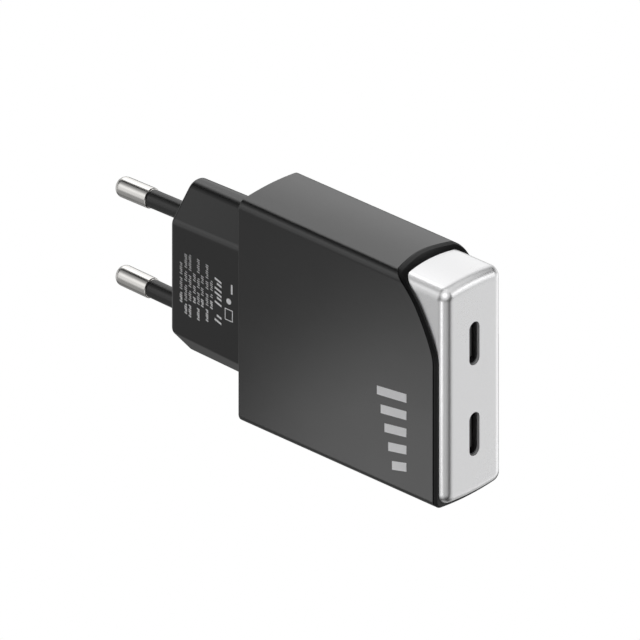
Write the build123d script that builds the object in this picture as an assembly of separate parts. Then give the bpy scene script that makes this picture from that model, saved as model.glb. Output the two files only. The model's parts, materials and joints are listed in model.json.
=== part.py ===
from build123d import *
import math
import os

# A slim two-port USB wall charger with a fixed flat two-pin mains plug.
# Millimetres.  X is across the thickness, +Y points into the wall socket, +Z is up.
# The origin is the centre of the plug nose's face, which meets the socket.
# A "depth" is a distance from that face towards the user, along -Y.

# ---------------------------------------------------------------- mains plug
PIN_SPACING = 19.0          # between the pin axes at the nose's face
PIN_LENGTH = 19.0
PIN_RADIUS = 2.0
PIN_TIP_ROUND = 1.5
PIN_LEAN = 1.2              # degrees that each pin leans towards the other one
PIN_CORE_RADIUS = 1.35      # the pin inside its insulating sleeve
PIN_METAL_LENGTH = 8.2      # bare metal at the tip
PIN_SHOULDER_ROUND = 0.3
PIN_HEAD_RADIUS = 1.95      # the riveted inner end
PIN_HEAD_THICKNESS = 0.7
SLEEVE_RADIUS = 1.75
SLEEVE_SOCKET = 1.6         # how far the sleeve goes into the nose's face
PIN_MOUTH_GAP = 0.12        # a shallow clearance ring around each sleeve at the face
PIN_MOUTH_DEPTH = 0.3

NOSE_THICKNESS = 13.7
NOSE_HEIGHT = 35.0
NOSE_FLAT = 22.6            # height of the broad flat
NOSE_END = 2.8              # width of the narrow top and bottom
NOSE_DEPTH = 18.2
NOSE_GROWTH = (0.25, 0.3)   # growth on each side, across and up, from the face to the body
NOSE_FLAT_GROWTH = 0.58
NOSE_CREASE = 2.0
NOSE_TIP_ROUND = 2.9
NOSE_FACE_ROUND = 0.8
NOSE_FACE_WALL = 3.0
NOSE_WALL = 1.7
NOSE_NECK_INSET = 0.9       # the neck that passes through the housing's rear wall
BOSS_RADIUS = 3.4
BOSS_END = 6.6              # depth of the pin bosses' inner end

# ---------------------------------------------------------------- body
BODY_HALF_X = 8.25          # half thickness at the rear end
BODY_GROWTH_X = 0.3         # moulding draft on each broad side over the body's length
BODY_HALF_Z = 23.25
BODY_CENTRE_Z = -0.2
BODY_CROWN = 60.0           # radius of the crowned narrow sides
BODY_CORNER = 1.8
BODY_REAR_ROUND = 0.2
BODY_FRONT = 67.1           # depth of the housing's straight front edge
BODY_FRONT_ROUND = 0.15
WALL = 1.7

# The front edge is upright, then sweeps back to the top in arcs of (radius, degrees).
SWEEP_START_Z = 6.6
SWEEP_ARCS = [(8.0, 20.5), (41.0, 11.9), (17.5, 24.5), (5.2, 23.0)]

# ---------------------------------------------------------------- front end
SEAM = (-0.1, 0.15)         # the fine groove between housing and bezel, from the driving edge
BEZEL_LENGTH = 0.68
BEZEL_INNER = 2.5
BEZEL_BEVEL = 0.38
BEZEL_TONGUE = 2.5
CAP_INSET = 0.75
CAP_CORNER = 3.0            # before the inset
CAP_INNER = 2.3
CAP_LIP_INNER = 3.2
CAP_LIP_LENGTH = 3.0
CAP_LIP_ROOT = 1.0
CAP_FRONT = 69.35
CAP_ROUND = 2.2
CAP_FRONT_WALL = 1.6
FIT = 0.03                  # clearance between moulded parts that slide together

# ---------------------------------------------------------------- USB-C ports
PORT_HEIGHTS = {"upper": 8.85, "lower": -9.85}
SLOT = (2.7, 8.9)           # width and height of the slot in the cap
SLOT_LIP = 0.6
PORT_SHELL = (3.16, 8.94)
PORT_SHELL_WALL = 0.3
PORT_SHELL_LENGTH = 7.5
TONGUE = (0.7, 6.69)
TONGUE_LENGTH = 5.8
PORT_BASE = 1.2             # moulded base at the back of the shell
CONTACT_PITCH = 0.5
CONTACTS_PER_SIDE = 12
CONTACT = (0.12, 5.2, 0.28) # thickness, length, width

# ---------------------------------------------------------------- boards and their parts
BOARD_FACE = 4.4            # the component side's X
BOARD_THICKNESS = 1.2
BOARD_REAR = 21.4
BOARD_FRONT = 59.8
BOARD_HALF_Z = 20.3
BOARD_CORNER = (54.5, 15.5) # where the corner is cut off to clear the sweep
PORT_BOARD_FACE = PORT_SHELL[0] / 2
PORT_BOARD_THICKNESS = 1.0
SPREADER_FACE = -5.6
SPREADER_THICKNESS = 0.4
PAD_THICKNESS = 0.5
FILM_THICKNESS = 0.25


# ---------------------------------------------------------------- helpers


def across(depth):
    """A plane across the charger: x is +X, y is +Z, and it faces the user."""
    return Plane(origin=(0, -depth, 0), x_dir=(1, 0, 0), z_dir=(0, -1, 0))


def beside(x):
    """A plane along the charger at an X: x is the depth, y is +Z, and it faces -X."""
    return Plane(origin=(x, 0, 0), x_dir=(0, -1, 0), z_dir=(-1, 0, 0))


def block(x, depth, z):
    """A box from three (low, high) pairs."""
    centre = ((x[0] + x[1]) / 2, -(depth[0] + depth[1]) / 2, (z[0] + z[1]) / 2)
    return Pos(*centre) * Box(x[1] - x[0], depth[1] - depth[0], z[1] - z[0])


def around(value, width):
    """The (low, high) pair of a width centred on a value."""
    return (value - width / 2, value + width / 2)


def save(name, shape):
    """Writes one sub-part, as a single solid or as a compound of identical ones."""
    solids = shape.solids()
    if len(solids) > 1:
        shape = Compound(children=list(solids))
    else:
        shape = solids[0]
    export_step(shape, f"parts/{name}.step")


# ---------------------------------------------------------------- the outer form


def body_outline(depth, inset, corner):
    """The body's cross-section at a depth, drawn in by an inset on every side."""
    share = (depth - NOSE_DEPTH) / (BODY_FRONT - NOSE_DEPTH)
    half_x = BODY_HALF_X + BODY_GROWTH_X * share - inset
    top = BODY_HALF_Z - inset
    radius = BODY_CROWN - inset
    edge = top - (radius - math.sqrt(radius**2 - half_x**2))
    with BuildSketch(across(depth) * Pos(0, BODY_CENTRE_Z)) as sketch:
        with BuildLine():
            Line((-half_x, -edge), (-half_x, edge))
            ThreePointArc((-half_x, edge), (0, top), (half_x, edge))
            Line((half_x, edge), (half_x, -edge))
            ThreePointArc((half_x, -edge), (0, -top), (-half_x, -edge))
        make_face()
        fillet(sketch.vertices(), max(corner - inset, 0.6))
    return sketch.sketch


def body_form(inset, start=NOSE_DEPTH, end=CAP_FRONT + 5, corner=BODY_CORNER):
    """The drafted body between two depths."""
    return loft([body_outline(start, inset, corner), body_outline(end, inset, corner)])


def behind_sweep(shift=0.0):
    """Everything behind the housing's swept front edge, moved forward by a shift."""
    reach = 60.0
    with BuildSketch(beside(0)) as sketch:
        with BuildLine():
            first = Line((BODY_FRONT, -reach), (BODY_FRONT, SWEEP_START_Z))
            edge = first
            for radius, angle in SWEEP_ARCS:
                edge = JernArc(edge @ 1, edge % 1, radius, angle)
            end = edge @ 1
            last = Line(end, end + (edge % 1) * reach)
            Polyline(last @ 1, (-reach, (last @ 1).Y), (-reach, -reach), first @ 0)
        make_face()
    return Pos(0, -shift, 0) * extrude(sketch.sketch, amount=reach, both=True)


def swept_depth(z):
    """The depth of the housing's front edge at a height."""
    depth = BODY_FRONT
    low_z = SWEEP_START_Z
    low_sine = 0.0
    turned = 0.0
    for radius, angle in SWEEP_ARCS:
        turned += angle
        high_sine = math.sin(math.radians(turned))
        sine = low_sine + max(z - low_z, 0) / radius
        here = min(sine, high_sine)
        depth -= radius * (math.sqrt(1 - low_sine**2) - math.sqrt(1 - here**2))
        low_z += radius * (high_sine - low_sine)
        low_sine = high_sine
    return depth


def rim(shape, shift=0.0):
    """The outline edges of a shape's swept front end."""
    found = []
    for candidate in shape.edges():
        points = [candidate.position_at(share) for share in (0, 0.25, 0.5, 0.75, 1)]
        on_sweep = all(abs(-p.Y - shift - swept_depth(p.Z)) < 0.002 for p in points)
        crosses = abs(points[2].X) < 0.01 and abs(points[2].Z) < 21
        if on_sweep and not crosses:
            found.append(candidate)
    return found


# ---------------------------------------------------------------- housing and plug nose


def nose_outline(depth, inset):
    """The plug nose's six-sided section with narrow ends."""
    share = depth / NOSE_DEPTH
    run = (NOSE_THICKNESS - NOSE_END) / 2
    rise = (NOSE_HEIGHT - NOSE_FLAT) / 2
    turn = math.atan2(run, rise)
    half_x = NOSE_THICKNESS / 2 + NOSE_GROWTH[0] * share - inset
    half_z = NOSE_HEIGHT / 2 + NOSE_GROWTH[1] * share - inset
    flat = NOSE_FLAT / 2 + NOSE_FLAT_GROWTH * share - inset * math.tan(turn / 2)
    end = NOSE_END / 2 + NOSE_GROWTH[0] * share - inset * math.tan(math.pi / 4 - turn / 2)
    corners = [(half_x, -flat), (half_x, flat), (end, half_z)]
    corners += [(-x, -z) for x, z in [(end, -half_z), (half_x, -flat), (half_x, flat)]]
    corners += [(-end, -half_z), (end, -half_z)]
    with BuildSketch(across(depth)) as sketch:
        Polygon(*corners, align=None)
        creases = [v for v in sketch.vertices() if abs(v.X) > half_x - 0.01]
        fillet(creases, max(NOSE_CREASE - inset, 0.5))
        tips = [v for v in sketch.vertices() if abs(v.X) < end + 0.01]
        fillet(tips, min(NOSE_TIP_ROUND, 0.9 * end / math.tan(math.pi / 4 - turn / 2)))
    return sketch.sketch


def nose_form(inset, start, end):
    """The plug nose's tapered form between two depths."""
    return loft([nose_outline(start, inset), nose_outline(end, inset)])


def make_main_housing():
    """A tube with a rear wall, a swept front edge and rails for the main board."""
    housing = body_form(0) & behind_sweep(SEAM[0])
    rear_edges = housing.faces().sort_by(Axis.Y)[-1].edges()
    housing = fillet(rear_edges, BODY_REAR_ROUND)
    housing = fillet(rim(housing, SEAM[0]), BODY_FRONT_ROUND)
    housing -= body_form(WALL, NOSE_DEPTH + WALL)
    rail_depths = (24.0, 50.0)
    for side in (-1, 1):
        rail_z = tuple(sorted((side * 19.4, side * 21.7)))
        housing += block((BOARD_FACE - 0.8, BOARD_FACE), rail_depths, rail_z)
        housing += block((BOARD_FACE + BOARD_THICKNESS, 7.2), rail_depths, rail_z)
    neck_end = NOSE_DEPTH + WALL
    return housing - nose_form(NOSE_NECK_INSET - FIT, NOSE_DEPTH - 1, neck_end + 1)


def pin_frame(name):
    """A pin's own frame: its origin is on the nose's face and z runs to the pin's tip."""
    side = 1 if name == "upper" else -1
    lean = math.radians(PIN_LEAN)
    direction = (0, math.cos(lean), -side * math.sin(lean))
    return Plane(origin=(0, 0, side * PIN_SPACING / 2), x_dir=(1, 0, 0), z_dir=direction)


def rod(frame, radius, start, end):
    """A cylinder along a frame's z between two heights."""
    return extrude(frame.offset(start) * Circle(radius), amount=end - start)


def make_plug_nose():
    """The hollow nose, with pin bosses, a neck through the housing and two snap lugs."""
    lug_start = NOSE_DEPTH + WALL + FIT
    nose = nose_form(0, 0, NOSE_DEPTH)
    nose = fillet(nose.faces().sort_by(Axis.Y)[-1].edges(), NOSE_FACE_ROUND)
    nose += nose_form(NOSE_NECK_INSET, NOSE_DEPTH - 1, lug_start + 1.4)
    for side in (-1, 1):
        lug_z = tuple(sorted((side * 16.8, side * 18.4)))
        nose += block((-3, 3), (lug_start, lug_start + 1.4), lug_z)
    nose -= nose_form(NOSE_NECK_INSET + NOSE_WALL - 0.2, NOSE_FACE_WALL, lug_start + 3)
    for name in ("upper", "lower"):
        frame = pin_frame(name)
        nose += rod(frame, BOSS_RADIUS, -BOSS_END, -NOSE_FACE_WALL + 0.5)
        nose -= rod(frame, PIN_CORE_RADIUS, -BOSS_END - 1, 1)
        nose -= rod(frame, SLEEVE_RADIUS, -SLEEVE_SOCKET, 1)
        nose -= rod(frame, SLEEVE_RADIUS + PIN_MOUTH_GAP, -PIN_MOUTH_DEPTH, 1)
    return nose


def make_pin(name):
    """A round pin: rounded bare tip, thinner core through the sleeve, riveted inner end."""
    frame = pin_frame(name)
    spring_back = -BOSS_END - 0.4
    tip = rod(frame, PIN_RADIUS, PIN_LENGTH - PIN_METAL_LENGTH, PIN_LENGTH)
    tip = fillet(tip.edges().sort_by(Axis.Y)[-1], PIN_TIP_ROUND)
    tip = fillet(tip.edges().sort_by(Axis.Y)[0], PIN_SHOULDER_ROUND)
    core = rod(frame, PIN_CORE_RADIUS, spring_back, PIN_LENGTH - PIN_METAL_LENGTH + 0.5)
    head = rod(frame, PIN_HEAD_RADIUS, spring_back - PIN_HEAD_THICKNESS, spring_back)
    return tip + core + head


def make_pin_sleeve(name):
    """The black insulating sleeve between the nose and the pin's bare end."""
    frame = pin_frame(name)
    length = PIN_LENGTH - PIN_METAL_LENGTH
    sleeve = rod(frame, SLEEVE_RADIUS, -SLEEVE_SOCKET, length)
    return sleeve - rod(frame, PIN_CORE_RADIUS, -SLEEVE_SOCKET, length)


def make_contact_spring(name):
    """A bent strip from the pin's inner end to the main board."""
    frame = pin_frame(name)
    plate_z = (-BOSS_END - 0.4, -BOSS_END)
    plate = Pos(0.7, 0, sum(plate_z) / 2) * Box(5.8, 3.4, 0.4)
    plate += Pos(BOARD_FACE - 1, 0, sum(plate_z) / 2) * Box(2.0, 2.0, 0.4)
    leg_end = -25.0
    leg_centre = (BOARD_FACE - 0.2, 0, (leg_end + plate_z[1]) / 2)
    leg = Pos(*leg_centre) * Box(0.4, 2.0, plate_z[1] - leg_end)
    return frame * (plate + leg) - rod(frame, PIN_CORE_RADIUS, -12, 0)


# ---------------------------------------------------------------- front end


def make_front_bezel():
    """The dark ring between housing and cap, with a tongue inside the housing."""
    ring = body_form(0) & behind_sweep(BEZEL_LENGTH)
    ring = chamfer(rim(ring, BEZEL_LENGTH), BEZEL_BEVEL)
    ring -= behind_sweep(SEAM[1])
    tongue = body_form(WALL + FIT) & behind_sweep(0.3)
    tongue -= behind_sweep(-BEZEL_TONGUE)
    return ring + tongue - body_form(BEZEL_INNER)


def stadium(frame, size, amount):
    """A round-ended bar whose ends point up and down, pushed out along the frame's z."""
    width, height = size
    return extrude(frame * SlotOverall(height, width, rotation=90), amount=amount)


def make_front_cap():
    """The silver cap: rounded front, two slots, and a lip inside the bezel."""
    cap = body_form(CAP_INSET, NOSE_DEPTH, CAP_FRONT, CAP_CORNER)
    cap = fillet(cap.faces().sort_by(Axis.Y)[0].edges(), CAP_ROUND)
    cap -= behind_sweep(BEZEL_LENGTH)
    lip_root = behind_sweep(BEZEL_LENGTH + CAP_LIP_ROOT)
    lip = body_form(BEZEL_INNER + FIT) & lip_root
    lip -= behind_sweep(BEZEL_LENGTH - CAP_LIP_LENGTH)
    inside_front = CAP_FRONT - CAP_FRONT_WALL
    cap -= body_form(CAP_INNER, NOSE_DEPTH, inside_front) - lip_root
    cap += lip
    cap -= body_form(CAP_LIP_INNER, NOSE_DEPTH, inside_front)
    pocket = (PORT_SHELL[0] + 2 * FIT, PORT_SHELL[1] + 2 * FIT)
    for height in PORT_HEIGHTS.values():
        slot = across(CAP_FRONT + 1).offset(-3.5) * Pos(0, height)
        cap -= stadium(slot, SLOT, 4)
        seat = across(CAP_FRONT - 3) * Pos(0, height)
        cap -= stadium(seat, pocket, 3 - SLOT_LIP)
    return cap


def port_frame(name, depth):
    """The plane across one port at a depth."""
    return across(depth) * Pos(0, PORT_HEIGHTS[name])


PORT_REAR = CAP_FRONT - SLOT_LIP - PORT_SHELL_LENGTH


def make_usb_shell(name):
    """The receptacle's metal shell."""
    inner = (PORT_SHELL[0] - 2 * PORT_SHELL_WALL, PORT_SHELL[1] - 2 * PORT_SHELL_WALL)
    frame = port_frame(name, PORT_REAR)
    return stadium(frame, PORT_SHELL, PORT_SHELL_LENGTH) - stadium(frame, inner, PORT_SHELL_LENGTH)


def make_usb_tongue(name):
    """The moulded base that fills the shell's rear, and its tongue."""
    inner = (PORT_SHELL[0] - 2 * PORT_SHELL_WALL, PORT_SHELL[1] - 2 * PORT_SHELL_WALL)
    base = stadium(port_frame(name, PORT_REAR), inner, PORT_BASE)
    tongue = block(
        around(0, TONGUE[0]),
        (PORT_REAR + PORT_BASE, PORT_REAR + PORT_BASE + TONGUE_LENGTH),
        around(PORT_HEIGHTS[name], TONGUE[1]),
    )
    tip = tongue.faces().sort_by(Axis.Y)[0].edges().filter_by(Axis.X)
    return base + fillet(tip, 0.3)


def make_usb_contacts(name):
    """Two rows of contact strips on the tongue."""
    thickness, length, width = CONTACT
    strips = []
    for side in (-1, 1):
        centre_x = side * (TONGUE[0] + thickness) / 2
        for index in range(CONTACTS_PER_SIDE):
            z = PORT_HEIGHTS[name] + (index - (CONTACTS_PER_SIDE - 1) / 2) * CONTACT_PITCH
            start = PORT_REAR + PORT_BASE
            strips.append(block(around(centre_x, thickness), (start, start + length), around(z, width)))
    return Compound(children=strips)


# ---------------------------------------------------------------- boards


def make_main_board():
    """The mains board, upright along one broad side, with a corner cut off at the sweep."""
    corner_depth, corner_z = BOARD_CORNER
    outline = [
        (BOARD_REAR, -BOARD_HALF_Z),
        (BOARD_FRONT, -BOARD_HALF_Z),
        (BOARD_FRONT, corner_z),
        (corner_depth, BOARD_HALF_Z),
        (BOARD_REAR, BOARD_HALF_Z),
    ]
    sketch = beside(BOARD_FACE) * make_face(Polyline(*outline, close=True))
    return extrude(sketch, amount=-BOARD_THICKNESS)


def make_port_board():
    """The small board that carries the ports and their controller."""
    x = (PORT_BOARD_FACE, PORT_BOARD_FACE + PORT_BOARD_THICKNESS)
    return block(x, (56.0, 66.2), (-17.0, 16.5))


def make_board_link():
    """A row of square pins between the two boards, in a moulded strip."""
    x = (PORT_BOARD_FACE + PORT_BOARD_THICKNESS, BOARD_FACE)
    return block(x, (57.0, 59.5), (-8.0, 8.0))


# ---------------------------------------------------------------- parts on the boards


def standing_can(depth, z, radius, height):
    """A round can that stands on the main board."""
    can = extrude(beside(BOARD_FACE) * Pos(depth, z) * Circle(radius), amount=height)
    return chamfer(can.edges().filter_by(GeomType.CIRCLE).sort_by(Axis.X)[0], 0.4)


def lying_can(depth, z, radius, touch=BOARD_FACE):
    """A round can that lies on the main board along Z."""
    frame = Plane(origin=(touch - radius, -depth, z[0]), z_dir=(0, 0, 1))
    can = extrude(frame * Circle(radius), amount=z[1] - z[0])
    return fillet(can.edges().filter_by(GeomType.CIRCLE), 0.5)


def make_fuse():
    """A small round fuse."""
    return lying_can(26.4, (-4.6, 4.4), 1.9)


def make_varistor():
    """The surge-absorbing disc, standing on the board beside the fuse."""
    frame = Plane(origin=(BOARD_FACE - 3.6, -31.0, 7.4), z_dir=(0, -1, 0))
    disc = extrude(frame * Circle(3.6), amount=3.2)
    return fillet(disc.edges(), 0.7)


def make_x_capacitor():
    """The moulded mains filter capacitor."""
    box = block((BOARD_FACE - 9.0, BOARD_FACE), (28.6, 34.4), (-16.8, -3.6))
    return fillet(box.edges().filter_by(Axis.X), 0.4)


CHOKE_CENTRE = (BOARD_FACE - 4.9, -31.2, 15.4)


def choke_ring(outer, inner, thickness):
    """A ring around the choke's axis, which runs along Y."""
    start = CHOKE_CENTRE[1] - thickness / 2
    frame = Plane(origin=(CHOKE_CENTRE[0], start, CHOKE_CENTRE[2]), z_dir=(0, 1, 0))
    return extrude(frame * (Circle(outer) - Circle(inner)), amount=thickness)


def make_choke_core():
    """The filter choke's ferrite ring."""
    return choke_ring(3.5, 2.2, 2.4)


def make_choke_winding(side):
    """One of the choke's two windings, on the left or right half of the ring."""
    cover = choke_ring(4.0, 1.7, 3.4) - choke_ring(3.5, 2.2, 2.4)
    reach = 2.0 + 4.0
    x = (0.7, reach) if side > 0 else (-reach, -0.7)
    x = (CHOKE_CENTRE[0] + x[0], CHOKE_CENTRE[0] + x[1])
    return cover & block(x, (28, 34.4), (10, 20))


def make_bridge_rectifier():
    """The flat bridge rectifier."""
    box = block((BOARD_FACE - 1.5, BOARD_FACE), (22.4, 27.2), (12.6, 18.6))
    return chamfer(box.faces().sort_by(Axis.X)[0].edges(), 0.2)


def make_bulk_capacitor(name):
    """One of the two high-voltage electrolytic cans."""
    z = (1.0, 18.6) if name == "upper" else (-18.6, -1.0)
    return lying_can(40.4, z, 4.9)


TRANSFORMER_DEPTHS = (46.4, 55.8)
TRANSFORMER_Z = (-4.0, 14.0)
TRANSFORMER_TOP = BOARD_FACE - 9.5


def make_transformer_core(half):
    """One E-shaped half of the ferrite core, above or below the winding window."""
    middle = sum(TRANSFORMER_Z) / 2
    z = (middle, TRANSFORMER_Z[1]) if half == "upper" else (TRANSFORMER_Z[0], middle)
    outer = block((TRANSFORMER_TOP, BOARD_FACE), TRANSFORMER_DEPTHS, z)
    window_z = around(middle, 12.6)
    window = block((TRANSFORMER_TOP + 1.8, BOARD_FACE - 1.8), (46, 56), window_z)
    leg = rod(Plane(origin=transformer_axis(), z_dir=(0, 0, 1)), 1.6, -9, 9)
    return outer - (window - leg)


def transformer_axis():
    """The centre of the transformer."""
    x = (TRANSFORMER_TOP + BOARD_FACE) / 2
    return (x, -sum(TRANSFORMER_DEPTHS) / 2, sum(TRANSFORMER_Z) / 2)


def make_transformer_bobbin():
    """The bobbin: a tube around the core's middle leg, with a flange at each end."""
    frame = Plane(origin=transformer_axis(), z_dir=(0, 0, 1))
    bobbin = rod(frame, 2.1, -6.3, 6.3)
    for side in (-1, 1):
        bobbin += Pos(*transformer_axis()) * Pos(0, 0, side * 5.9) * Box(5.9, 8.6, 0.8)
    return bobbin - rod(frame, 1.6, -7, 7)


def make_transformer_winding():
    """The taped winding between the bobbin's flanges."""
    frame = Plane(origin=transformer_axis(), z_dir=(0, 0, 1))
    winding = Pos(*transformer_axis()) * Box(5.7, 8.2, 11.0)
    winding = fillet(winding.edges().filter_by(Axis.Z), 1.8)
    return winding - rod(frame, 2.1, -6, 6)


def make_output_capacitor(name):
    """One of the two solid output capacitors."""
    z = -8.6 if name == "upper" else -15.8
    return standing_can(52.6, z, 3.15, 8.0)


def make_y_capacitor():
    """The small disc capacitor that bridges mains side and USB side."""
    frame = Plane(origin=(BOARD_FACE - 2.8, -46.2, -12.2), z_dir=(0, -1, 0))
    disc = extrude(frame * Circle(2.8), amount=2.2)
    return fillet(disc.edges(), 0.5)


def make_optocoupler():
    """The feedback coupler."""
    box = block((BOARD_FACE - 2.0, BOARD_FACE), (46.6, 51.0), (15.0, 18.6))
    return chamfer(box.faces().sort_by(Axis.X)[0].edges(), 0.2)


def make_back_chip(depth, z):
    """A thin power chip on the main board's other side."""
    x = (BOARD_FACE + BOARD_THICKNESS, BOARD_FACE + BOARD_THICKNESS + 0.75)
    return block(x, depth, z)


def make_port_controller():
    """The chip on the port board that negotiates the charging voltage."""
    box = block((PORT_BOARD_FACE - 0.8, PORT_BOARD_FACE), (58.6, 62.6), around(-0.4, 4.0))
    return chamfer(box.faces().sort_by(Axis.X)[0].edges(), 0.1)


def make_heat_spreader():
    """The metal sheet that carries heat from the transformer to the broad side."""
    x = (SPREADER_FACE - SPREADER_THICKNESS, SPREADER_FACE)
    return block(x, (30.0, 56.4), (-18.0, 18.0))


def make_thermal_pad():
    """The soft pad between transformer and heat spreader."""
    return block((SPREADER_FACE, SPREADER_FACE + PAD_THICKNESS), (46.4, 55.8), (-4.0, 14.0))


def make_insulation_film():
    """The insulating film between heat spreader and housing."""
    face = SPREADER_FACE - SPREADER_THICKNESS
    return block((face - FILM_THICKNESS, face), (28.5, 57.0), (-19.0, 18.6))


# ---------------------------------------------------------------- assembly


def make_parts():
    """Every sub-part by name."""
    parts = {
        "main_housing": make_main_housing(),
        "plug_nose": make_plug_nose(),
        "front_bezel": make_front_bezel(),
        "front_cap": make_front_cap(),
        "main_board": make_main_board(),
        "port_board": make_port_board(),
        "board_link": make_board_link(),
        "fuse": make_fuse(),
        "varistor": make_varistor(),
        "x_capacitor": make_x_capacitor(),
        "choke_core": make_choke_core(),
        "choke_winding_left": make_choke_winding(-1),
        "choke_winding_right": make_choke_winding(1),
        "bridge_rectifier": make_bridge_rectifier(),
        "transformer_bobbin": make_transformer_bobbin(),
        "transformer_winding": make_transformer_winding(),
        "y_capacitor": make_y_capacitor(),
        "optocoupler": make_optocoupler(),
        "power_switch": make_back_chip((40.0, 46.0), (4.0, 12.0)),
        "output_rectifier": make_back_chip((50.0, 56.0), (-12.0, -7.0)),
        "port_controller": make_port_controller(),
        "heat_spreader": make_heat_spreader(),
        "thermal_pad": make_thermal_pad(),
        "insulation_film": make_insulation_film(),
    }
    for name in ("upper", "lower"):
        parts[f"pin_{name}"] = make_pin(name)
        parts[f"pin_sleeve_{name}"] = make_pin_sleeve(name)
        parts[f"contact_spring_{name}"] = make_contact_spring(name)
        parts[f"usb_shell_{name}"] = make_usb_shell(name)
        parts[f"usb_tongue_{name}"] = make_usb_tongue(name)
        parts[f"usb_contacts_{name}"] = make_usb_contacts(name)
        parts[f"bulk_capacitor_{name}"] = make_bulk_capacitor(name)
        parts[f"transformer_core_{name}"] = make_transformer_core(name)
        parts[f"output_capacitor_{name}"] = make_output_capacitor(name)
    return parts


if __name__ == "__main__":
    os.makedirs("parts", exist_ok=True)
    for part_name, part_shape in make_parts().items():
        save(part_name, part_shape)
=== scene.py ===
"""Materials, printed details, studio and camera for the USB wall charger.

Lengths are in millimetres and are turned into metres where objects are made.  "Depth" is
the distance from the plug nose's face towards the user, along -Y.
"""

import json
import math

import bmesh
import bpy
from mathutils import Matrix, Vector


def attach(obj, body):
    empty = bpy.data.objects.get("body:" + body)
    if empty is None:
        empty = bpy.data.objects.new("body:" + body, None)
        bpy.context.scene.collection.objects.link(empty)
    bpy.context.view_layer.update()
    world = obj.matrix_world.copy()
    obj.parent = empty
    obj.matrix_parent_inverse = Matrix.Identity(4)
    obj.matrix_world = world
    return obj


MM = 0.001

# ---------------------------------------------------------------- the frame
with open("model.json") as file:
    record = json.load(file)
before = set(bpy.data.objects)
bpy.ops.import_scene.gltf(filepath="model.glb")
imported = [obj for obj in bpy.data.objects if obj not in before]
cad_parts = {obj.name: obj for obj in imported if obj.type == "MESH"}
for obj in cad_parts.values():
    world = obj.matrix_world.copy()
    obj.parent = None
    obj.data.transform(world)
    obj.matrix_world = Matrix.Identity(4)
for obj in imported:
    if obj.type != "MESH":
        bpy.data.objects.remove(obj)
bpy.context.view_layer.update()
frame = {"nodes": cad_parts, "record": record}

# ---------------------------------------------------------------- camera
CAMERA_AZIMUTH = -46.9
CAMERA_ELEVATION = 28.3
FRAME_WIDTH = 116.36
FRAME_CENTRE = (22.56, -10.42)      # right and up from the origin, in the picture plane
CAMERA_DISTANCE = 1000.0
CAMERA_CLIP = (10.0, 20000.0)


def camera_axes():
    """The camera's right, up and backward directions."""
    azimuth = math.radians(CAMERA_AZIMUTH)
    elevation = math.radians(CAMERA_ELEVATION)
    right = Vector((math.cos(azimuth), math.sin(azimuth), 0))
    back = Vector((
        math.sin(azimuth) * math.cos(elevation),
        -math.cos(azimuth) * math.cos(elevation),
        math.sin(elevation),
    ))
    return right, back.cross(right), back


def make_camera():
    """A camera without perspective, so that parallel edges stay parallel."""
    right, up, back = camera_axes()
    data = bpy.data.cameras.new("camera")
    data.type = "ORTHO"
    data.ortho_scale = FRAME_WIDTH * MM
    data.clip_start = CAMERA_CLIP[0] * MM
    data.clip_end = CAMERA_CLIP[1] * MM
    camera = bpy.data.objects.new("camera", data)
    centre = right * FRAME_CENTRE[0] + up * FRAME_CENTRE[1]
    camera.location = (centre + back * CAMERA_DISTANCE) * MM
    camera.rotation_mode = "QUATERNION"
    camera.rotation_quaternion = back.to_track_quat("Z", "Y")
    bpy.context.scene.collection.objects.link(camera)
    bpy.context.scene.camera = camera


make_camera()

# ---------------------------------------------------------------- node helpers
NOISE_RANGE = (0.3, 0.7)            # most of a noise texture's values lie in here


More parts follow.
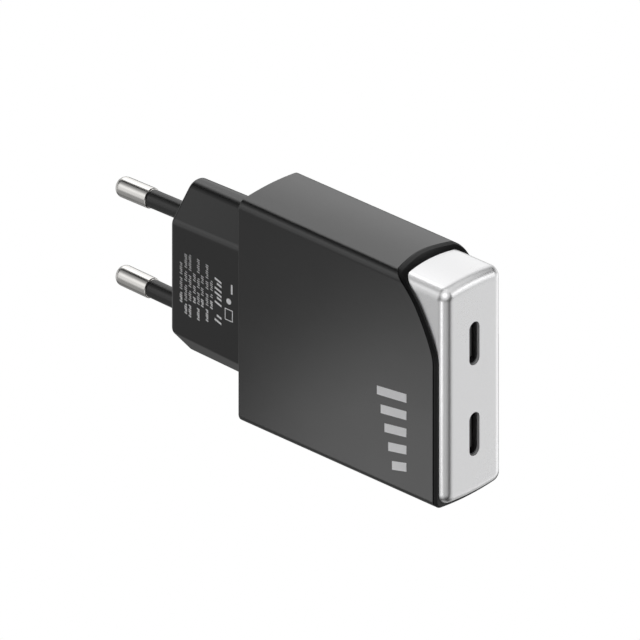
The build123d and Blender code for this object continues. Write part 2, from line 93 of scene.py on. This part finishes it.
class Nodes:
    """A small helper that adds and links shader nodes."""

    def __init__(self, tree):
        self.tree = tree
        tree.nodes.clear()

    def add(self, kind, **settings):
        """Adds a node.  Settings are the node's own properties."""
        node = self.tree.nodes.new(kind)
        for name, value in settings.items():
            setattr(node, name, value)
        return node

    def link(self, source, target):
        """Links an output socket to an input socket."""
        self.tree.links.new(source, target)

    def axes(self, vector):
        """A vector's X, Y and Z as sockets."""
        node = self.add("ShaderNodeSeparateXYZ")
        self.link(vector, node.inputs["Vector"])
        return node.outputs

    def math(self, operation, *values):
        """A Math node on sockets or numbers."""
        node = self.add("ShaderNodeMath", operation=operation)
        for index, value in enumerate(values):
            if isinstance(value, (int, float)):
                node.inputs[index].default_value = value
            else:
                self.link(value, node.inputs[index])
        return node.outputs[0]

    def weigh(self, first, second, share):
        """Adds a share of the first value to the remaining share of the second."""
        first_part = self.math("MULTIPLY", first, share)
        second_part = self.math("MULTIPLY", second, 1 - share)
        return self.math("ADD", first_part, second_part)

    def noise(self, vector, scale, detail=3.0):
        """Noise with a scale in cycles per metre."""
        node = self.add("ShaderNodeTexNoise")
        self.link(vector, node.inputs["Vector"])
        node.inputs["Scale"].default_value = scale
        node.inputs["Detail"].default_value = detail
        return node.outputs["Fac"]

    def span(self, value, low, high, to_low, to_high, smooth=False):
        """Maps a value from one range to another."""
        node = self.add("ShaderNodeMapRange")
        if smooth:
            node.interpolation_type = "SMOOTHSTEP"
        self.link(value, node.inputs["Value"])
        numbers = {"From Min": low, "From Max": high, "To Min": to_low, "To Max": to_high}
        for name, number in numbers.items():
            node.inputs[name].default_value = number
        return node.outputs["Result"]

    def spread(self, noise, low, high):
        """Maps noise to a range."""
        return self.span(noise, *NOISE_RANGE, low, high)

    def blend(self, factor, first, second):
        """Mixes two colours by a factor socket."""
        node = self.add("ShaderNodeMix", data_type="RGBA")
        self.link(factor, node.inputs[0])
        for socket, colour in ((node.inputs[6], first), (node.inputs[7], second)):
            if isinstance(colour, tuple):
                socket.default_value = (*colour, 1.0)
            else:
                self.link(colour, socket)
        return node.outputs[2]

    def bump(self, height, strength, distance):
        """A Bump node.  The distance is in millimetres."""
        node = self.add("ShaderNodeBump")
        node.inputs["Strength"].default_value = strength
        node.inputs["Distance"].default_value = distance * MM
        self.link(height, node.inputs["Height"])
        return node.outputs["Normal"]


def new_material(name, **constants):
    """A Principled material, its node helper, its shader and object-space coordinates."""
    material = bpy.data.materials.new(name)
    material.use_nodes = True
    nodes = Nodes(material.node_tree)
    shader = nodes.add("ShaderNodeBsdfPrincipled")
    output = nodes.add("ShaderNodeOutputMaterial")
    nodes.link(shader.outputs["BSDF"], output.inputs["Surface"])
    for socket, value in constants.items():
        shader.inputs[socket.replace("_", " ")].default_value = value
    place = nodes.add("ShaderNodeTexCoord").outputs["Object"]
    return material, nodes, shader, place


def grained(name, dark, light, rough, grain, bump, patch=90.0, metallic=0.0, **constants):
    """A surface with two tones in soft patches, uneven roughness and a fine bumpy grain.

    grain is the size of the grain in millimetres and rough the range of the roughness.
    """
    material, nodes, shader, place = new_material(name, **constants)
    shader.inputs["Metallic"].default_value = metallic
    patches = nodes.noise(place, patch, 4.0)
    fine = nodes.noise(place, 1.0 / (grain * MM), 2.0)
    tone = nodes.spread(patches, 0.0, 1.0)
    nodes.link(nodes.blend(tone, dark, light), shader.inputs["Base Color"])
    uneven = nodes.weigh(fine, patches, 0.6)
    nodes.link(nodes.spread(uneven, *rough), shader.inputs["Roughness"])
    nodes.link(nodes.bump(fine, bump, grain / 2), shader.inputs["Normal"])
    return material


# ---------------------------------------------------------------- materials outside
SLOT_SIZE = (2.7, 8.9)              # width and height of the cap's slots
SLOT_MARGIN = 0.1                   # how far the painted shade reaches past a slot's wall
SLOT_SILVER_REACH = 0.1                    # how far the silver reaches into a slot before the painted shade begins
# Painted shade: the flat grey that stands in for the shade on the walls inside the slots
SLOT_SHADE_TONE = (0.32, 0.32, 0.322)
CAP_METALLIC = 0.9
FLAKE_SIZE = 0.09
PIN_LINE_SIZE = 0.12                # the pins' turning lines
PIN_WEAR = (16.5, 19.0)             # Y between which the pins' tips get duller


def housing_material():
    """Dark grey moulding with a very fine spark-eroded grain."""
    return grained(
        "housing_plastic", (0.010, 0.010, 0.0102), (0.013, 0.013, 0.0132),
        rough=(0.27, 0.33), grain=0.12, bump=0.04, IOR=1.66,
    )


def bezel_material():
    """Nearly black satin moulding."""
    return grained(
        "bezel_plastic", (0.024, 0.024, 0.0245), (0.029, 0.029, 0.0295),
        rough=(0.42, 0.50), grain=0.15, bump=0.04, Specular_IOR_Level=0.3,
    )


def slot_shade_mask(nodes, place):
    """One on the walls inside the cap's two slots, which get painted shade, zero on the silver
    paint.
    """
    ports = [
        mount["pos_m"] for mount in frame["record"]["mounts"] if "usb_c_port" in mount["name"]
    ]
    axes = nodes.axes(place)
    reach_x = (SLOT_SIZE[0] / 2 + SLOT_MARGIN) * MM
    reach_z = (SLOT_SIZE[1] / 2 + SLOT_MARGIN) * MM
    past_mouth = nodes.math("GREATER_THAN", axes["Y"], ports[0][1] + SLOT_SILVER_REACH * MM)
    near_middle = nodes.math("COMPARE", axes["X"], ports[0][0], reach_x)
    upper, lower = (nodes.math("COMPARE", axes["Z"], port[2], reach_z) for port in ports)
    inside = nodes.math("MULTIPLY", past_mouth, near_middle)
    return nodes.math("MULTIPLY", inside, nodes.math("MAXIMUM", upper, lower))


def cap_material():
    """Satin silver paint: metal flakes of slightly different tone under a soft coat."""
    material, nodes, shader, place = new_material("cap_silver", IOR=1.5)
    shader.inputs["Coat Weight"].default_value = 0.15
    shader.inputs["Coat Roughness"].default_value = 0.2
    cells = nodes.add("ShaderNodeTexVoronoi")
    nodes.link(place, cells.inputs["Vector"])
    cells.inputs["Scale"].default_value = 1.0 / (FLAKE_SIZE * MM)
    flake = nodes.add("ShaderNodeSeparateColor")
    nodes.link(cells.outputs["Color"], flake.inputs["Color"])
    patches = nodes.noise(place, 60.0, 3.0)
    tone = nodes.blend(flake.outputs[0], (0.72, 0.72, 0.725), (0.75, 0.75, 0.755))
    # Inside the slots the silver gives way to a flat grey without metal: painted shade on the
    # slot walls.
    slot = slot_shade_mask(nodes, place)
    nodes.link(nodes.blend(slot, tone, SLOT_SHADE_TONE), shader.inputs["Base Color"])
    nodes.link(nodes.span(slot, 0.0, 1.0, CAP_METALLIC, 0.0), shader.inputs["Metallic"])
    uneven = nodes.weigh(flake.outputs[1], patches, 0.5)
    nodes.link(nodes.span(uneven, 0.2, 0.8, 0.27, 0.34), shader.inputs["Roughness"])
    nodes.link(nodes.bump(flake.outputs[2], 0.01, 0.02), shader.inputs["Normal"])
    return material


def pin_material():
    """Bright nickel plate with faint turning lines round the pin and light wear at the tip."""
    material, nodes, shader, place = new_material("pin_metal", Metallic=1.0)
    along = nodes.axes(place)["Y"]
    lines = nodes.add("ShaderNodeTexNoise", noise_dimensions="1D")
    nodes.link(along, lines.inputs["W"])
    lines.inputs["Scale"].default_value = 1.0 / (PIN_LINE_SIZE * MM)
    lines.inputs["Detail"].default_value = 2.0
    patches = nodes.noise(place, 500.0, 4.0)
    tone = nodes.blend(patches, (0.76, 0.745, 0.72), (0.84, 0.825, 0.80))
    nodes.link(tone, shader.inputs["Base Color"])
    worn = nodes.span(along, PIN_WEAR[0] * MM, PIN_WEAR[1] * MM, 0.0, 0.06)
    uneven = nodes.spread(patches, 0.18, 0.26)
    nodes.link(nodes.math("ADD", uneven, worn), shader.inputs["Roughness"])
    nodes.link(nodes.bump(lines.outputs["Fac"], 0.03, 0.02), shader.inputs["Normal"])
    return material


def sleeve_material():
    """Satin black insulating sleeve."""
    return grained(
        "sleeve_plastic", (0.038, 0.038, 0.038), (0.046, 0.046, 0.046),
        rough=(0.26, 0.34), grain=0.1, bump=0.04, IOR=1.5,
    )


def print_material():
    """Light grey pad-printed ink, slightly uneven."""
    return grained(
        "printed_ink", (0.84, 0.84, 0.85), (0.90, 0.90, 0.91),
        rough=(0.4, 0.5), grain=0.08, bump=0.1, patch=400.0,
    )


# ---------------------------------------------------------------- materials inside
TRACK_SPACING = 1.8
TRACK_WIDTH = 0.56
TRACK_WANDER = 8.0                  # the most that the tracks stray from a straight grid
INNER_PATCH = 300.0                 # cycles per metre of the inner parts' soft patches


def board_material():
    """Green solder mask with copper tracks showing through as a lighter grid of lines."""
    material, nodes, shader, place = new_material("board", IOR=1.5)
    axes = nodes.axes(place)
    warp = nodes.math("MULTIPLY", nodes.noise(place, 150.0, 0.0), TRACK_WANDER * MM)
    lines = []
    for axis in ("Y", "Z"):
        shifted = nodes.math("ADD", axes[axis], warp)
        wave = nodes.math("PINGPONG", shifted, TRACK_SPACING / 2 * MM)
        lines.append(nodes.math("LESS_THAN", wave, TRACK_WIDTH / 2 * MM))
    tracks = nodes.math("MAXIMUM", *lines)
    tone = nodes.blend(tracks, (0.010, 0.075, 0.030), (0.030, 0.16, 0.060))
    nodes.link(tone, shader.inputs["Base Color"])
    nodes.link(nodes.spread(nodes.noise(place, 900.0), 0.3, 0.4), shader.inputs["Roughness"])
    nodes.link(nodes.bump(tracks, 0.3, 0.04), shader.inputs["Normal"])
    return material


def wound_material():
    """Copper turns: fine ridges around the winding, coloured darker in the grooves between turns
    as painted shade.
    """
    material, nodes, shader, place = new_material("copper", Metallic=1.0)
    wave = nodes.add("ShaderNodeTexWave", bands_direction="Y")
    nodes.link(place, wave.inputs["Vector"])
    wave.inputs["Scale"].default_value = 900.0
    wave.inputs["Distortion"].default_value = 1.5
    ridge = wave.outputs["Fac"]
    # Painted shade: the colour follows the ridges' height, darker down in the grooves between
    # turns.
    tone = nodes.blend(ridge, (0.30, 0.10, 0.04), (0.62, 0.27, 0.12))
    nodes.link(tone, shader.inputs["Base Color"])
    nodes.link(nodes.span(ridge, 0, 1, 0.35, 0.22), shader.inputs["Roughness"])
    nodes.link(nodes.bump(ridge, 0.6, 0.1), shader.inputs["Normal"])
    return material


# Tone pair, roughness range, grain in mm, bump, metallic, by material slot.
INNER_MATERIALS = {
    "spring_metal": ((0.45, 0.28, 0.12), (0.60, 0.40, 0.18), (0.25, 0.40), 0.3, 0.1, 1.0),
    "port_steel": ((0.22, 0.22, 0.225), (0.28, 0.28, 0.285), (0.25, 0.36), 0.2, 0.08, 0.5),
    "port_plastic": ((0.07, 0.07, 0.071), (0.10, 0.10, 0.101), (0.3, 0.45), 0.1, 0.1, 0.0),
    "contact_metal": ((0.70, 0.48, 0.18), (0.85, 0.62, 0.28), (0.15, 0.28), 0.1, 0.05, 1.0),
    "link_plastic": ((0.010, 0.010, 0.010), (0.018, 0.018, 0.018), (0.4, 0.55), 0.2, 0.15, 0.0),
    "chip_plastic": ((0.012, 0.012, 0.013), (0.022, 0.022, 0.023), (0.45, 0.6), 0.1, 0.2, 0.0),
    "fuse_body": ((0.12, 0.05, 0.02), (0.20, 0.09, 0.04), (0.2, 0.35), 0.5, 0.1, 0.0),
    "disc_coating": ((0.01, 0.05, 0.22), (0.02, 0.09, 0.32), (0.25, 0.4), 0.4, 0.2, 0.0),
    "film_capacitor_case": ((0.60, 0.36, 0.02), (0.70, 0.44, 0.04), (0.2, 0.3), 0.3, 0.1, 0.0),
    "ferrite": ((0.020, 0.020, 0.021), (0.045, 0.045, 0.047), (0.35, 0.6), 0.2, 0.3, 0.2),
    "winding_tape": ((0.62, 0.38, 0.03), (0.72, 0.48, 0.06), (0.15, 0.3), 0.6, 0.1, 0.0),
    "bobbin_plastic": ((0.015, 0.015, 0.015), (0.024, 0.024, 0.024), (0.35, 0.5), 0.2, 0.1, 0.0),
    "can_sleeve": ((0.010, 0.014, 0.045), (0.016, 0.022, 0.065), (0.18, 0.3), 0.6, 0.08, 0.0),
    "can_metal": ((0.62, 0.62, 0.64), (0.74, 0.74, 0.76), (0.2, 0.35), 0.2, 0.08, 1.0),
    "spreader_metal": ((0.52, 0.53, 0.54), (0.66, 0.67, 0.68), (0.28, 0.42), 0.3, 0.1, 1.0),
    "pad_rubber": ((0.24, 0.27, 0.32), (0.32, 0.36, 0.42), (0.6, 0.8), 0.2, 0.3, 0.0),
    "film": ((0.60, 0.56, 0.38), (0.68, 0.64, 0.46), (0.2, 0.3), 0.8, 0.05, 0.0),
}


def make_materials():
    """Every material by slot name."""
    materials = {
        "housing_plastic": housing_material(),
        "bezel_plastic": bezel_material(),
        "cap_silver": cap_material(),
        "pin_metal": pin_material(),
        "sleeve_plastic": sleeve_material(),
        "board": board_material(),
        "copper": wound_material(),
    }
    for slot, (dark, light, rough, grain, bump, metallic) in INNER_MATERIALS.items():
        materials[slot] = grained(slot, dark, light, rough, grain, bump, INNER_PATCH, metallic)
    return materials


def dress_nodes(materials):
    """Gives every CAD node the material of its slot."""
    for part in frame["record"]["subparts"]:
        mesh = frame["nodes"][part["node"]].data
        mesh.materials.clear()
        mesh.materials.append(materials[part["material_slot"]])


dress_nodes(make_materials())

# ---------------------------------------------------------------- printed details
INK_THICKNESS = 0.03
INK_SINK = 0.02                 # how deep the ink's back lies under the surface
NOSE_HALF_X = (6.85, 7.10)      # at the nose's face and where it meets the body
NOSE_DEPTH = 18.2
BODY_HALF_X = (8.25, 8.55)      # at the body's rear and at its straight front edge
BODY_FRONT = 67.1

GAUGE_BARS = 5
GAUGE_FRONT = 60.4              # depth of the bars' common front end
GAUGE_BOTTOM = -18.5
GAUGE_PITCH = 3.55
GAUGE_BAR_HEIGHT = 1.8
GAUGE_BAR_LENGTH = 3.6          # of the lowest bar
GAUGE_BAR_GROWTH = 0.95         # from each bar to the next
GAUGE_SLANT = 0.9

TICK_SHORT = 0.68               # a shorter tick's share of the full height
TICK_SLANT = -0.3
SMALL_TICK_HEIGHT = 0.62
SMALL_TICK_PITCH = 0.42
SMALL_TICK_WIDTHS = (0.26, 0.16)    # in a line's bold first word and in the others
LARGE_TICK_HEIGHT = 1.7
LARGE_TICK_PITCH = 0.95
LARGE_TICK_WIDTH = 0.42
LARGE_TICKS_DEPTH = 12.1
LARGE_TICKS_Z = [(-4.9, -2.4), (-1.2, 5.4)]

SQUARE_DEPTH = (13.8, 15.8)
SQUARE_Z = (-3.8, -1.4)
SQUARE_STROKE = 0.18
DASH_DEPTH = (15.35, 15.75)
DASH_Z = (1.9, 3.9)
DOT_CENTRE = (14.8, 0.2)        # depth and Z
DOT_RADIUS = 0.6
DOT_CORNERS = 24


def nose_side(depth):
    """X of the nose's broad flat on the -X side."""
    return -(NOSE_HALF_X[0] + (NOSE_HALF_X[1] - NOSE_HALF_X[0]) * depth / NOSE_DEPTH)


def body_side(depth):
    """X of the body's broad face on the -X side."""
    share = (depth - NOSE_DEPTH) / (BODY_FRONT - NOSE_DEPTH)
    return -(BODY_HALF_X[0] + (BODY_HALF_X[1] - BODY_HALF_X[0]) * share)


def add_patch(mesh, outline, side_of):
    """Adds one thin flat patch of ink.  The outline is (depth, z) points in millimetres."""
    rings = []
    for lift in (-INK_SINK, INK_THICKNESS):
        ring = [
            mesh.verts.new(Vector((side_of(depth) - lift, -depth, z)) * MM)
            for depth, z in outline
        ]
        rings.append(ring)
    mesh.faces.new(rings[1])
    mesh.faces.new(list(reversed(rings[0])))
    count = len(outline)
    for index in range(count):
        after = (index + 1) % count
        mesh.faces.new((rings[0][index], rings[0][after], rings[1][after], rings[1][index]))


def finish_print(name, mesh, material):
    """Turns printed patches into a piece that rides on the charger."""
    bmesh.ops.recalc_face_normals(mesh, faces=mesh.faces)
    data = bpy.data.meshes.new(name)
    mesh.to_mesh(data)
    mesh.free()
    data.materials.append(material)
    piece = bpy.data.objects.new(name, data)
    bpy.context.scene.collection.objects.link(piece)
    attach(piece, "root")


def bar(depth, z, slant=0.0):
    """A bar from (low, high) depths and heights, its ends slanted along Z."""
    return [
        (depth[0], z[0]), (depth[1], z[0] + slant), (depth[1], z[1] + slant), (depth[0], z[1]),
    ]


def make_charge_gauge(material):
    """A generic charge gauge low on the broad face: five slanted bars that widen upwards."""
    mesh = bmesh.new()
    for step in range(GAUGE_BARS):
        bottom = GAUGE_BOTTOM + step * GAUGE_PITCH
        length = GAUGE_BAR_LENGTH + step * GAUGE_BAR_GROWTH
        depth = (GAUGE_FRONT - length, GAUGE_FRONT)
        z = (bottom, bottom + GAUGE_BAR_HEIGHT)
        add_patch(mesh, bar(depth, z, GAUGE_SLANT), body_side)
    finish_print("charge_gauge_print", mesh, material)


def add_ticks(mesh, middle, height, z, width, pitch):
    """A word-like run of slanted ticks between two heights.  Every third tick is shorter."""
    count = int((z[1] - z[0]) / pitch)
    for index in range(count):
        low = z[0] + index * pitch
        reach = height * (TICK_SHORT if index % 3 == 1 else 1.0)
        depth = (middle + height / 2 - reach, middle + height / 2)
        add_patch(mesh, bar(depth, (low, low + width), TICK_SLANT * reach), nose_side)


# Depth of each line's middle and the (low, high) Z of its words.  The first word is bold.
RATING_LINES = [
    (2.75, [(-4.2, -2.0), (-1.5, 1.2), (1.6, 4.4)]),
    (3.95, [(-6.2, -4.0), (-3.5, 0.2), (0.6, 2.9), (3.3, 6.4)]),
    (5.0, [(-6.5, -3.6), (-3.1, -0.8), (-0.3, 2.6), (3.1, 6.6)]),
    (6.1, [(-3.2, -1.6), (-1.2, 0.8), (1.3, 3.4)]),
    (7.1, [(-6.4, -3.6), (-3.1, -0.2), (0.3, 2.8), (3.4, 6.4)]),
    (8.1, [(-3.3, -1.4), (-0.9, 1.1), (1.6, 3.5)]),
    (9.3, [(-5.8, -3.0), (-2.5, 0.4), (0.9, 2.6), (3.1, 6.1)]),
    (10.4, [(-2.8, -0.9), (-0.5, 0.6), (1.0, 3.1)]),
]


def make_rating_lines(material):
    """Lines of small ticks, not letters, where such chargers carry small print."""
    mesh = bmesh.new()
    for middle, words in RATING_LINES:
        for index, z in enumerate(words):
            width = SMALL_TICK_WIDTHS[0] if index == 0 else SMALL_TICK_WIDTHS[1]
            add_ticks(mesh, middle, SMALL_TICK_HEIGHT, z, width, SMALL_TICK_PITCH)
    finish_print("rating_lines_print", mesh, material)


def square_strokes():
    """The four strokes of the outline square, as (low, high) depths and heights."""
    rear, front = SQUARE_DEPTH
    bottom, top = SQUARE_Z
    between = (bottom + SQUARE_STROKE, top - SQUARE_STROKE)
    return [
        (SQUARE_DEPTH, (bottom, bottom + SQUARE_STROKE)),
        (SQUARE_DEPTH, (top - SQUARE_STROKE, top)),
        ((rear, rear + SQUARE_STROKE), between),
        ((front - SQUARE_STROKE, front), between),
    ]


def dot_outline():
    """The round dot as (depth, z) points."""
    turns = [math.tau * corner / DOT_CORNERS for corner in range(DOT_CORNERS)]
    return [
        (DOT_CENTRE[0] + DOT_RADIUS * math.cos(turn), DOT_CENTRE[1] + DOT_RADIUS * math.sin(turn))
        for turn in turns
    ]


def make_plain_shapes(material):
    """Plain generic shapes in place of larger marks: ticks, an outline square, a dot, a dash."""
    mesh = bmesh.new()
    for z in LARGE_TICKS_Z:
        add_ticks(
            mesh, LARGE_TICKS_DEPTH, LARGE_TICK_HEIGHT, z, LARGE_TICK_WIDTH, LARGE_TICK_PITCH,
        )
    for depth, z in square_strokes() + [(DASH_DEPTH, DASH_Z)]:
        add_patch(mesh, bar(depth, z), nose_side)
    add_patch(mesh, dot_outline(), nose_side)
    finish_print("plain_shapes_print", mesh, material)


ink = print_material()
make_charge_gauge(ink)
make_rating_lines(ink)
make_plain_shapes(ink)

# ---------------------------------------------------------------- studio
FLOOR_Z = -150.0
FLOOR_SIZE = 6000.0
BACKDROP_RADIUS = 4000.0
LIGHT_CORE = 0.25                   # a soft light's full strength fills this share of its angle

# Soft lights placed where a surface shows them to the camera, as (the surface's outward
# normal, outer degrees, strength).
SURFACE_LIGHTS = [
    ((0, 0, 1), 40, 1.45),            # the narrow top
    ((-0.25, 0, 1), 16, 1.2),         # where the top begins to round over
    ((-0.75, 0, 0.66), 30, 0.5),      # the nose's upper slope
    ((-1, 0, 0.5), 32, 1.0),          # the upper side edges
    ((-1, 0, 0), 38, 0.4),            # the broad side
    ((-0.75, 0, -0.66), 28, 0.24),    # the nose's lower slope
    ((-1, -0.6, 0), 38, 0.8),         # the upright front edges
    ((0, -1, 0), 40, 1.1),            # the front
    ((0, -1, 0.5), 18, 1.8),          # the front's top edge
]

# Soft lights for views from elsewhere, as (direction, outer degrees, strength).
FAR_LIGHTS = [
    ((1, -0.1, -0.1), 34, 0.8),
    ((0, 1, -0.2), 34, 0.8),
    ((0, 0, 1), 22, 0.6),
    ((0, 0.25, -1), 30, 0.6),
]

# Round cards that only light some pieces, as (place, aim, size, radiance, pieces).  They
# lighten the dark faces, the prints, and the silver's side, rounded edges and corner.
DARK = ["main_housing"]
PRINTS = ["charge_gauge_print", "rating_lines_print", "plain_shapes_print"]
SILVER = ["front_cap"]
CARDS = [
    ((-88, 13, -79), (-8.5, -62, -20), 60, 1.25, DARK + PRINTS),
    ((230, 150, 150), (0, -40, 23), 150, 0.35, DARK),
    ((-150, -60, -60), (-8.5, -40, -5), 120, 1.20, PRINTS),
    ((-170, 70, -110), (-8, -65, 0), 180, 0.31, SILVER),
    ((110, -130, 220), (0, -68, 20), 180, 0.90, SILVER),
    ((140, -230, 130), (0, -68, 20), 110, 1.20, SILVER),
    ((-95, -240, -90), (-8, -68, 0), 130, 0.50, SILVER + ["front_bezel"]),
    ((-215, -125, -95), (-8, -68, 0), 80, 1.70, SILVER),
    ((-120, 90, 190), (-6, -65, 20), 160, 0.30, SILVER),
    ((5, 67, 196), (0, -65, 20), 120, 0.75, SILVER),
    ((-110, -180, 160), (-6, -68, 20), 420, 0.80, SILVER),
    ((-95, -163, 140), (-6, -68, 20), 150, 1.00, SILVER),
    ((40, -40, 250), (0, -68, 20), 120, 0.60, SILVER),
    ((205, -20, -118), (0, -68, 0), 360, 0.55, SILVER),
    ((260, 150, 110), (0, -60, 20), 110, 0.25, SILVER),
]


def white_material():
    """Even white that is clear from behind."""
    material = bpy.data.materials.new("studio_white")
    material.use_nodes = True
    nodes = Nodes(material.node_tree)
    white = nodes.add("ShaderNodeEmission")
    white.inputs["Strength"].default_value = 1.0
    clear = nodes.add("ShaderNodeBsdfTransparent")
    side = nodes.add("ShaderNodeNewGeometry")
    mix = nodes.add("ShaderNodeMixShader")
    output = nodes.add("ShaderNodeOutputMaterial")
    nodes.link(side.outputs["Backfacing"], mix.inputs[0])
    nodes.link(white.outputs[0], mix.inputs[1])
    nodes.link(clear.outputs[0], mix.inputs[2])
    nodes.link(mix.outputs[0], output.inputs["Surface"])
    return material


def place_backing(name, mesh, material, height):
    """Adds a piece of the studio that the camera sees but that casts no light or shadow."""
    data = bpy.data.meshes.new(name)
    mesh.to_mesh(data)
    mesh.free()
    data.materials.append(material)
    backing = bpy.data.objects.new(name, data)
    backing.location = (0, 0, height * MM)
    bpy.context.scene.collection.objects.link(backing)
    backing.visible_glossy = False
    backing.visible_diffuse = False
    backing.visible_transmission = False
    backing.visible_shadow = False


def make_backing():
    """A plain white floor well below the charger, and a white backdrop all round.

    The charger hangs as if held by its plug.  The floor is clear from below, so that the
    charger's underside can be seen.
    """
    white = white_material()
    floor = bmesh.new()
    bmesh.ops.create_grid(floor, x_segments=1, y_segments=1, size=FLOOR_SIZE / 2 * MM)
    place_backing("floor", floor, white, FLOOR_Z)
    backdrop = bmesh.new()
    bmesh.ops.create_icosphere(backdrop, subdivisions=4, radius=BACKDROP_RADIUS * MM)
    bmesh.ops.reverse_faces(backdrop, faces=backdrop.faces)
    place_backing("backdrop", backdrop, white, 0.0)


def mirrored(normal):
    """The direction that a surface with this normal shows to the camera."""
    back = camera_axes()[2]
    normal = Vector(normal).normalized()
    return 2 * normal.dot(back) * normal - back


def make_world():
    """Soft studio light: round soft lights, with darker gaps between them."""
    world = bpy.data.worlds.new("studio")
    bpy.context.scene.world = world
    world.use_nodes = True
    nodes = Nodes(world.node_tree)
    direction = nodes.add("ShaderNodeTexCoord").outputs["Generated"]
    total = None
    lights = [(mirrored(normal), outer, strength) for normal, outer, strength in SURFACE_LIGHTS]
    for toward, outer, strength in lights + FAR_LIGHTS:
        nearness = nodes.add("ShaderNodeVectorMath", operation="DOT_PRODUCT")
        nodes.link(direction, nearness.inputs[0])
        nearness.inputs[1].default_value = Vector(toward).normalized()
        edge = math.cos(math.radians(outer))
        core = math.cos(math.radians(outer * LIGHT_CORE))
        light = nodes.span(nearness.outputs["Value"], edge, core, 0.0, strength, smooth=True)
        total = light if total is None else nodes.math("ADD", total, light)
    background = nodes.add("ShaderNodeBackground")
    nodes.link(total, background.inputs["Strength"])
    output = nodes.add("ShaderNodeOutputWorld")
    nodes.link(background.outputs[0], output.inputs["Surface"])


def make_cards():
    """Near cards that give single pieces their gradients."""
    for index, (place, aim, size, radiance, pieces) in enumerate(CARDS):
        data = bpy.data.lights.new(f"card_{index}", "AREA")
        data.shape = "DISK"
        data.size = size * MM
        data.energy = radiance * (math.pi * size / 2 * MM) ** 2
        card = bpy.data.objects.new(f"card_{index}", data)
        card.location = Vector(place) * MM
        card.rotation_mode = "QUATERNION"
        card.rotation_quaternion = (Vector(aim) - Vector(place)).to_track_quat("-Z", "Y")
        bpy.context.scene.collection.objects.link(card)
        receivers = bpy.data.collections.new(f"card_{index}_receivers")
        for piece in pieces:
            receivers.objects.link(bpy.data.objects[piece])
        card.light_linking.receiver_collection = receivers


def make_plain_tones():
    """Shows the scene's tones as they are."""
    view = bpy.context.scene.view_settings
    view.view_transform = "Standard"
    view.look = "None"
    view.exposure = 0.0
    view.gamma = 1.0


make_backing()
make_world()
make_cards()
make_plain_tones()
